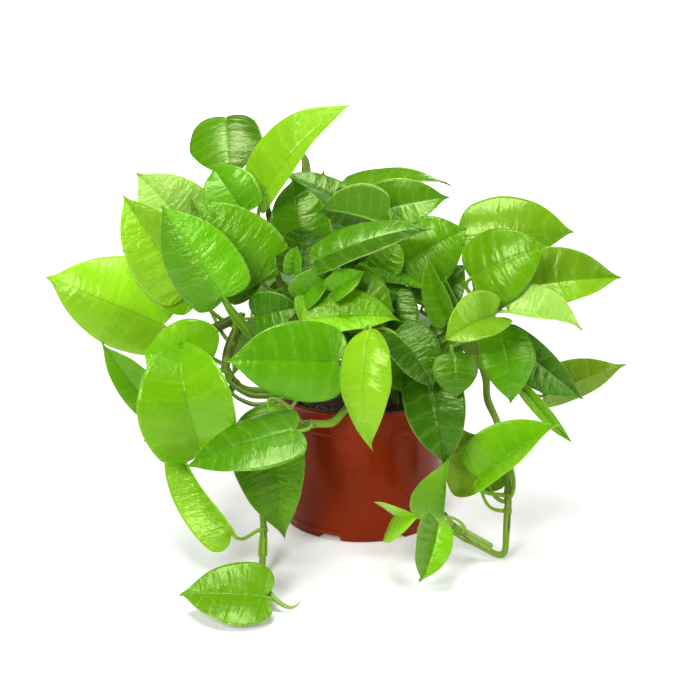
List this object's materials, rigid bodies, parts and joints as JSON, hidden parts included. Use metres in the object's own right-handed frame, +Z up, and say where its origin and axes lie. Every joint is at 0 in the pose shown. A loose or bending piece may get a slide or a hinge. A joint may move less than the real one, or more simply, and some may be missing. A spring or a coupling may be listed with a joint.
{
  "type": "potted pothos plant",
  "caption": "Lime-green pothos with heart-shaped leaves on trailing vines, growing in a round red-brown plastic nursery pot filled with dark soil.",
  "frame": {"origin": "centre of the pot's underside, on the surface it stands on", "axes": "+Z up; the plant's front, where the leaves trail down, faces -Y; +X is to the right seen from the front"},
  "size_m": [0.499, 0.3799, 0.3563],
  "materials": {
    "leaf_bright": "waxy bright green leaf",
    "leaf_deep": "waxy deep green leaf",
    "leaf_green": "waxy green leaf",
    "leaf_lime": "waxy lime leaf",
    "leaf_olive": "dull olive leaf underside",
    "pot_plastic": "glossy red-brown plastic",
    "soil": "dark fibrous peat",
    "stem": "smooth green plant stem"
  },
  "bodies": {
    "root": {"pot": "pot_plastic", "soil": "soil", "vine_left": "stem", "vine_top_left": "stem", "vine_centre": "stem", "vine_back": "stem", "vine_right_high": "stem", "vine_right": "stem", "vine_right_trailing": "stem", "vine_left_trailing": "stem", "vine_front": "stem", "leaf_far_left": "leaf_lime", "leaf_top_heart": "leaf_green", "leaf_top_long": "leaf_lime", "leaf_upper_left_back": "leaf_lime", "leaf_upper_left_middle": "leaf_bright", "leaf_left_under": "leaf_deep", "leaf_upper_left_front": "leaf_bright", "leaf_upper_left_glossy": "leaf_green", "leaf_centre_dark": "leaf_deep", "leaf_top_right_flat": "leaf_green", "leaf_turned_away": "leaf_olive", "leaf_centre_right_back": "leaf_green", "leaf_centre_glossy": "leaf_green", "leaf_centre_right": "leaf_green", "leaf_right_high_back": "leaf_lime", "leaf_right_high_front": "leaf_bright", "leaf_far_right": "leaf_olive", "leaf_right_folded": "leaf_lime", "leaf_right_heart": "leaf_lime", "leaf_right_hanging": "leaf_bright", "leaf_right_dark": "leaf_deep", "leaf_right_underside": "leaf_olive", "leaf_front_striped": "leaf_deep", "leaf_front_small_heart": "leaf_bright", "leaf_front_dark_hanging": "leaf_deep", "leaf_trailing_right_wide": "leaf_bright", "leaf_trailing_right_back": "leaf_olive", "leaf_trailing_right_folded": "leaf_bright", "leaf_trailing_right_young": "leaf_lime", "leaf_trailing_right_low": "leaf_lime", "leaf_front_wide": "leaf_bright", "leaf_front_lime": "leaf_lime", "leaf_front_level": "leaf_lime", "leaf_left_behind": "leaf_olive", "leaf_left_big": "leaf_bright", "leaf_left_low": "leaf_green", "leaf_left_level": "leaf_green", "leaf_left_hanging": "leaf_green", "leaf_left_lower": "leaf_bright", "leaf_on_the_ground": "leaf_bright", "leaf_back_left": "leaf_bright", "leaf_back_right": "leaf_lime", "leaf_back_middle": "leaf_bright", "leaf_back_left_low": "leaf_green", "leaf_back_right_low": "leaf_green", "leaf_back_hanging": "leaf_lime", "leaf_back_upright": "leaf_green"}
  },
  "joints": []
}
